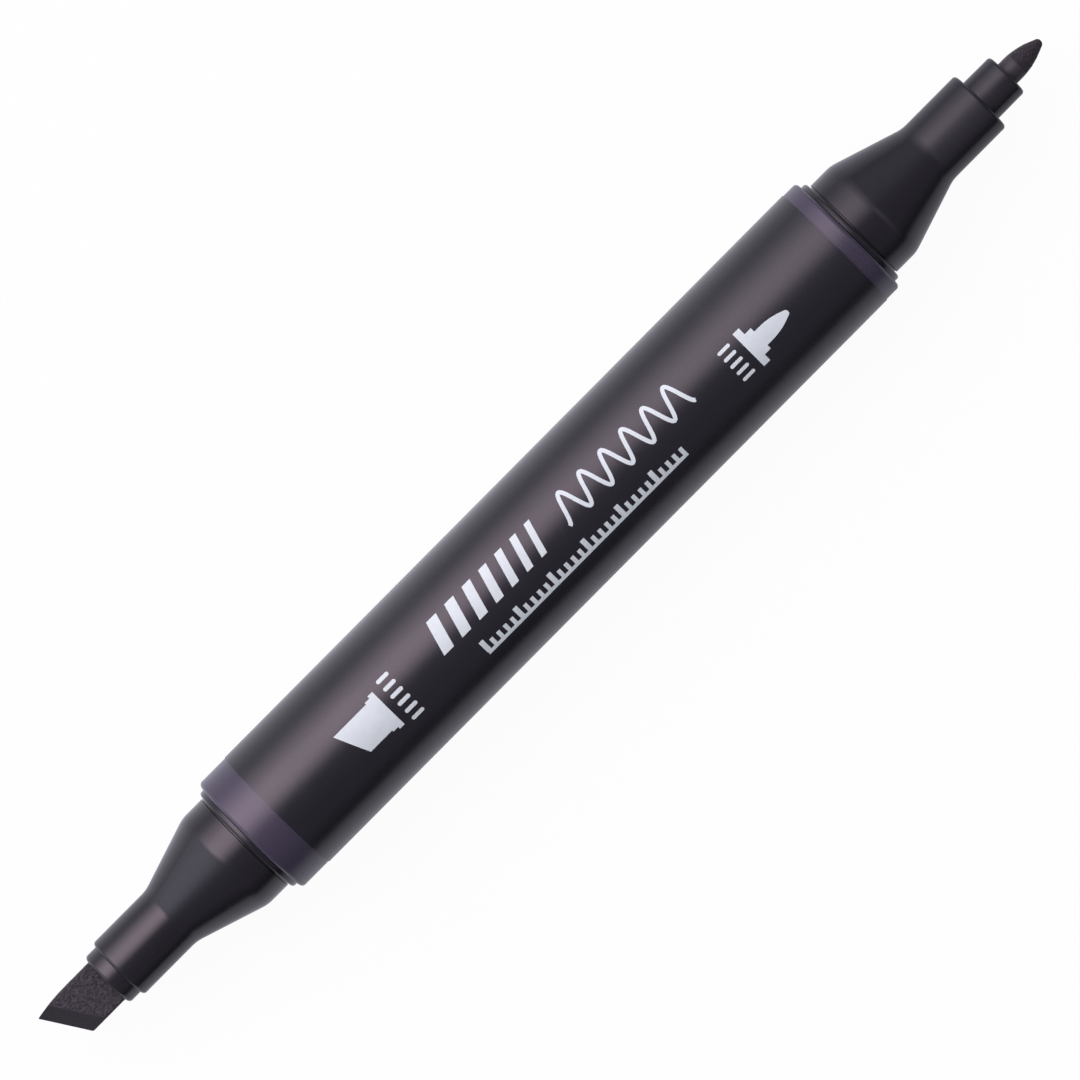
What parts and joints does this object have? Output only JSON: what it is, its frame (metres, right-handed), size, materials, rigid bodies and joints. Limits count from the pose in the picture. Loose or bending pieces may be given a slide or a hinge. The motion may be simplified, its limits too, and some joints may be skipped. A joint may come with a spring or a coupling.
{
  "type": "felt tip marker",
  "caption": "Double-ended felt tip marker with its caps off: chisel nib and fine nib in tapered black necks, round barrel with a printed film, pull-out nibs.",
  "frame": {"origin": "on the marker's axis, halfway between the barrel's two end faces", "axes": "+X along the marker towards the fine nib, -X towards the chisel nib, +Z the printed side, +Y towards the long corner of the chisel nib"},
  "size_m": [0.1489, 0.0156, 0.0156],
  "materials": {
    "barrel_plastic": "satin moulded dark purple plastic",
    "label_film": "satin black printed film",
    "section_plastic": "satin black moulded plastic",
    "holder_plastic": "satin black moulded plastic",
    "chisel_felt": "ink-soaked pressed felt with ground facets",
    "fine_felt": "ink-soaked bonded fibre, smooth skin",
    "reservoir_fibre": "ink-soaked bonded fibre",
    "reservoir_film": "clear film"
  },
  "bodies": {
    "marker_body": {"barrel_tube": "barrel_plastic", "label_sleeve": "label_film", "chisel_section": "section_plastic", "fine_section": "section_plastic", "chisel_nib_holder": "holder_plastic", "fine_nib_holder": "holder_plastic", "reservoir_fibre": "reservoir_fibre", "reservoir_wrap": "reservoir_film"},
    "chisel_nib_body": {"chisel_nib": "chisel_felt"},
    "fine_nib_body": {"fine_nib": "fine_felt"}
  },
  "joints": [
    {"name": "chisel_nib_pull", "type": "slide", "parent": "marker_body", "child": "chisel_nib_body", "axis": [-1, 0, 0], "range_m": [0, 0.029]},
    {"name": "fine_nib_pull", "type": "slide", "parent": "marker_body", "child": "fine_nib_body", "axis": [1, 0, 0], "range_m": [0, 0.0315]}
  ]
}
